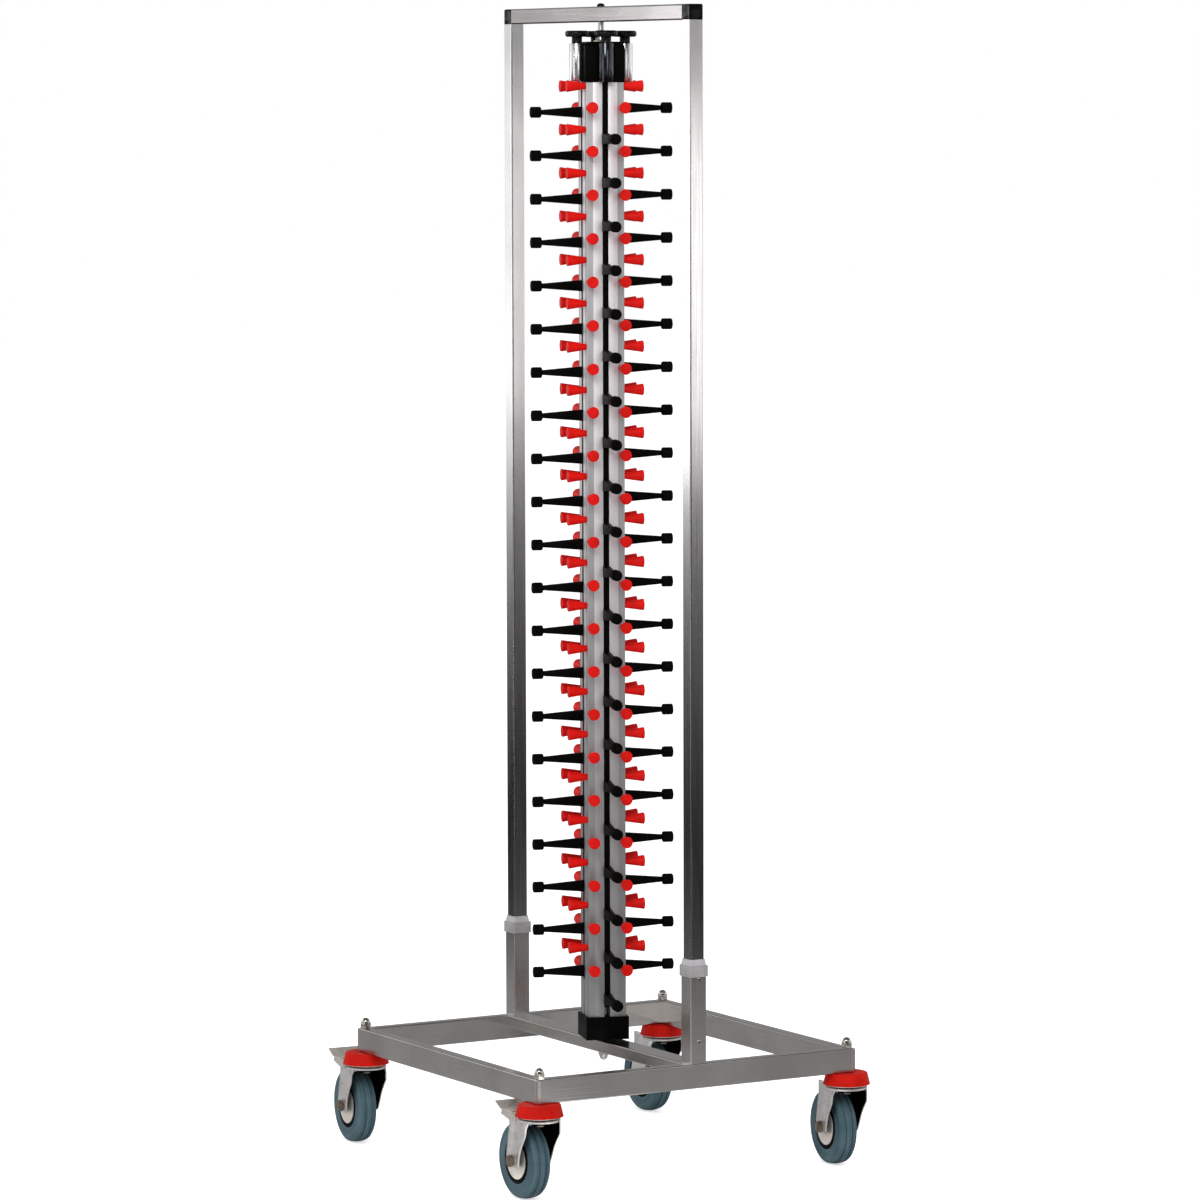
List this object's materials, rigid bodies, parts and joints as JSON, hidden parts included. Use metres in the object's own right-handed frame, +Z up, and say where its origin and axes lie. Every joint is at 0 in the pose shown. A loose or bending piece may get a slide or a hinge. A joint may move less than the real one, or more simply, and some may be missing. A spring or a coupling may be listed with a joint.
{
  "type": "mobile plate rack",
  "caption": "Tall rack on casters whose turning four-sided column holds plates between red pins and height-adjustable arms inside a slim steel frame",
  "frame": {"origin": "On the floor under the middle of the object's bounding box, with the casters trailing to the rear", "axes": "+Z up along the column, -Y the front rail, +X the right rail"},
  "size_m": [0.6574, 0.7371, 1.9055],
  "materials": {
    "frame_steel": "brushed stainless steel",
    "bright_fasteners": "polished steel",
    "plain_steel": "zinc-plated steel",
    "collar_grey": "light grey moulded plastic",
    "black_plastic": "matte black moulded plastic",
    "bush_plastic": "pale bearing plastic",
    "column_aluminium": "satin anodised aluminium",
    "pin_red": "bright red moulded plastic",
    "bumper_red": "orange-red moulded plastic",
    "cap_rubber": "matte black rubber",
    "knob_black": "satin black moulded plastic",
    "fork_zinc": "zinc-plated pressed steel",
    "pedal_steel": "dull zinc-plated steel",
    "rim_black": "black moulded plastic",
    "tyre_grey": "blue-grey rubber"
  },
  "bodies": {
    "root": {"base_front_rail": "frame_steel", "base_rear_rail": "frame_steel", "base_left_rail": "frame_steel", "base_right_rail": "frame_steel", "crossbeam": "frame_steel", "upright_sockets": "frame_steel", "socket_collars": "collar_grey", "upright_left": "frame_steel", "upright_right": "frame_steel", "top_bar": "frame_steel", "corner_connectors": "black_plastic", "socket_screws": "bright_fasteners", "centre_rod": "plain_steel", "rod_nuts": "bright_fasteners", "caster_studs": "plain_steel", "stud_dome_nuts": "bright_fasteners", "bumper_rings": "bumper_red", "caster_upper_races": "plain_steel", "swivel_balls": "plain_steel"},
    "column": {"column_profiles": "column_aluminium", "base_block": "black_plastic", "top_block": "black_plastic", "column_bushes": "bush_plastic", "screw_housings": "bright_fasteners", "red_pins": "pin_red"},
    "front_knob": {"knob_front": "knob_black"},
    "front_arms": {"strip_front": "black_plastic", "arms_front": "black_plastic", "arm_caps_front": "cap_rubber"},
    "right_knob": {"knob_right": "knob_black"},
    "right_arms": {"strip_right": "black_plastic", "arms_right": "black_plastic", "arm_caps_right": "cap_rubber"},
    "back_knob": {"knob_back": "knob_black"},
    "back_arms": {"strip_back": "black_plastic", "arms_back": "black_plastic", "arm_caps_back": "cap_rubber"},
    "left_knob": {"knob_left": "knob_black"},
    "left_arms": {"strip_left": "black_plastic", "arms_left": "black_plastic", "arm_caps_left": "cap_rubber"},
    "caster_front_left": {"fork_front_left": "fork_zinc", "axle_front_left": "fork_zinc"},
    "wheel_front_left": {"rim_front_left": "rim_black", "tyre_front_left": "tyre_grey"},
    "pedal_front_left": {"brake_pedal_front_left": "pedal_steel"},
    "caster_front_right": {"fork_front_right": "fork_zinc", "axle_front_right": "fork_zinc"},
    "wheel_front_right": {"rim_front_right": "rim_black", "tyre_front_right": "tyre_grey"},
    "caster_rear_left": {"fork_rear_left": "fork_zinc", "axle_rear_left": "fork_zinc"},
    "wheel_rear_left": {"rim_rear_left": "rim_black", "tyre_rear_left": "tyre_grey"},
    "pedal_rear_left": {"brake_pedal_rear_left": "pedal_steel"},
    "caster_rear_right": {"fork_rear_right": "fork_zinc", "axle_rear_right": "fork_zinc"},
    "wheel_rear_right": {"rim_rear_right": "rim_black", "tyre_rear_right": "tyre_grey"}
  },
  "joints": [
    {"name": "column_turn", "type": "hinge", "parent": "root", "child": "column", "pos_m": [0, -0.0369, 1], "axis": [0, 0, 1], "continuous": true},
    {"name": "front_knob_turn", "type": "hinge", "parent": "column", "child": "front_knob", "pos_m": [-0.01266, -0.07484, 1.856], "axis": [0, 0, 1], "range_deg": [-1692, 4608]},
    {"name": "front_arms_slide", "type": "slide", "parent": "column", "child": "front_arms", "axis": [0, 0, 1], "range_m": [-0.0094, 0.0256]},
    {"name": "right_knob_turn", "type": "hinge", "parent": "column", "child": "right_knob", "pos_m": [0.03794, -0.04956, 1.856], "axis": [0, 0, 1], "range_deg": [-4410, 1890]},
    {"name": "right_arms_slide", "type": "slide", "parent": "column", "child": "right_arms", "axis": [0, 0, 1], "range_m": [-0.0245, 0.0105]},
    {"name": "back_knob_turn", "type": "hinge", "parent": "column", "child": "back_knob", "pos_m": [0.01266, 0.00104, 1.856], "axis": [0, 0, 1], "range_deg": [-2520, 3780]},
    {"name": "back_arms_slide", "type": "slide", "parent": "column", "child": "back_arms", "axis": [0, 0, 1], "range_m": [-0.014, 0.021]},
    {"name": "left_knob_turn", "type": "hinge", "parent": "column", "child": "left_knob", "pos_m": [-0.03794, -0.02424, 1.856], "axis": [0, 0, 1], "range_deg": [-3168, 3132]},
    {"name": "left_arms_slide", "type": "slide", "parent": "column", "child": "left_arms", "axis": [0, 0, 1], "range_m": [-0.0176, 0.0174]},
    {"name": "front_left_swivel", "type": "hinge", "parent": "root", "child": "caster_front_left", "pos_m": [-0.29, -0.3299, 0.1375], "axis": [0, 0, 1], "continuous": true},
    {"name": "front_left_wheel_spin", "type": "hinge", "parent": "caster_front_left", "child": "wheel_front_left", "pos_m": [-0.28917, -0.27991, 0.0625], "axis": [0.9999, -0.0166, 0], "continuous": true},
    {"name": "front_left_pedal_press", "type": "hinge", "parent": "caster_front_left", "child": "pedal_front_left", "pos_m": [-0.28937, -0.29191, 0.1326], "axis": [-0.9999, 0.0166, 0], "range_deg": [0, 15]},
    {"name": "front_right_swivel", "type": "hinge", "parent": "root", "child": "caster_front_right", "pos_m": [0.29, -0.3299, 0.1375], "axis": [0, 0, 1], "continuous": true},
    {"name": "front_right_wheel_spin", "type": "hinge", "parent": "caster_front_right", "child": "wheel_front_right", "pos_m": [0.29635, -0.28031, 0.0625], "axis": [0.9919, -0.1271, 0], "continuous": true},
    {"name": "rear_left_swivel", "type": "hinge", "parent": "root", "child": "caster_rear_left", "pos_m": [-0.29, 0.2561, 0.1375], "axis": [0, 0, 1], "continuous": true},
    {"name": "rear_left_wheel_spin", "type": "hinge", "parent": "caster_rear_left", "child": "wheel_rear_left", "pos_m": [-0.28495, 0.30584, 0.0625], "axis": [0.9949, -0.1011, 0], "continuous": true},
    {"name": "rear_left_pedal_press", "type": "hinge", "parent": "caster_rear_left", "child": "pedal_rear_left", "pos_m": [-0.28616, 0.29391, 0.1326], "axis": [-0.9949, 0.1011, 0], "range_deg": [0, 15]},
    {"name": "rear_right_swivel", "type": "hinge", "parent": "root", "child": "caster_rear_right", "pos_m": [0.29, 0.2561, 0.1375], "axis": [0, 0, 1], "continuous": true},
    {"name": "rear_right_wheel_spin", "type": "hinge", "parent": "caster_rear_right", "child": "wheel_rear_right", "pos_m": [0.2907, 0.3061, 0.0625], "axis": [0.9999, -0.014, 0], "continuous": true}
  ],
  "couplings": [
    {"joint": "front_knob_turn", "follows": "front_arms_slide", "rad_per_m": 3141.6},
    {"joint": "right_knob_turn", "follows": "right_arms_slide", "rad_per_m": 3141.6},
    {"joint": "back_knob_turn", "follows": "back_arms_slide", "rad_per_m": 3141.6},
    {"joint": "left_knob_turn", "follows": "left_arms_slide", "rad_per_m": 3141.6}
  ]
}
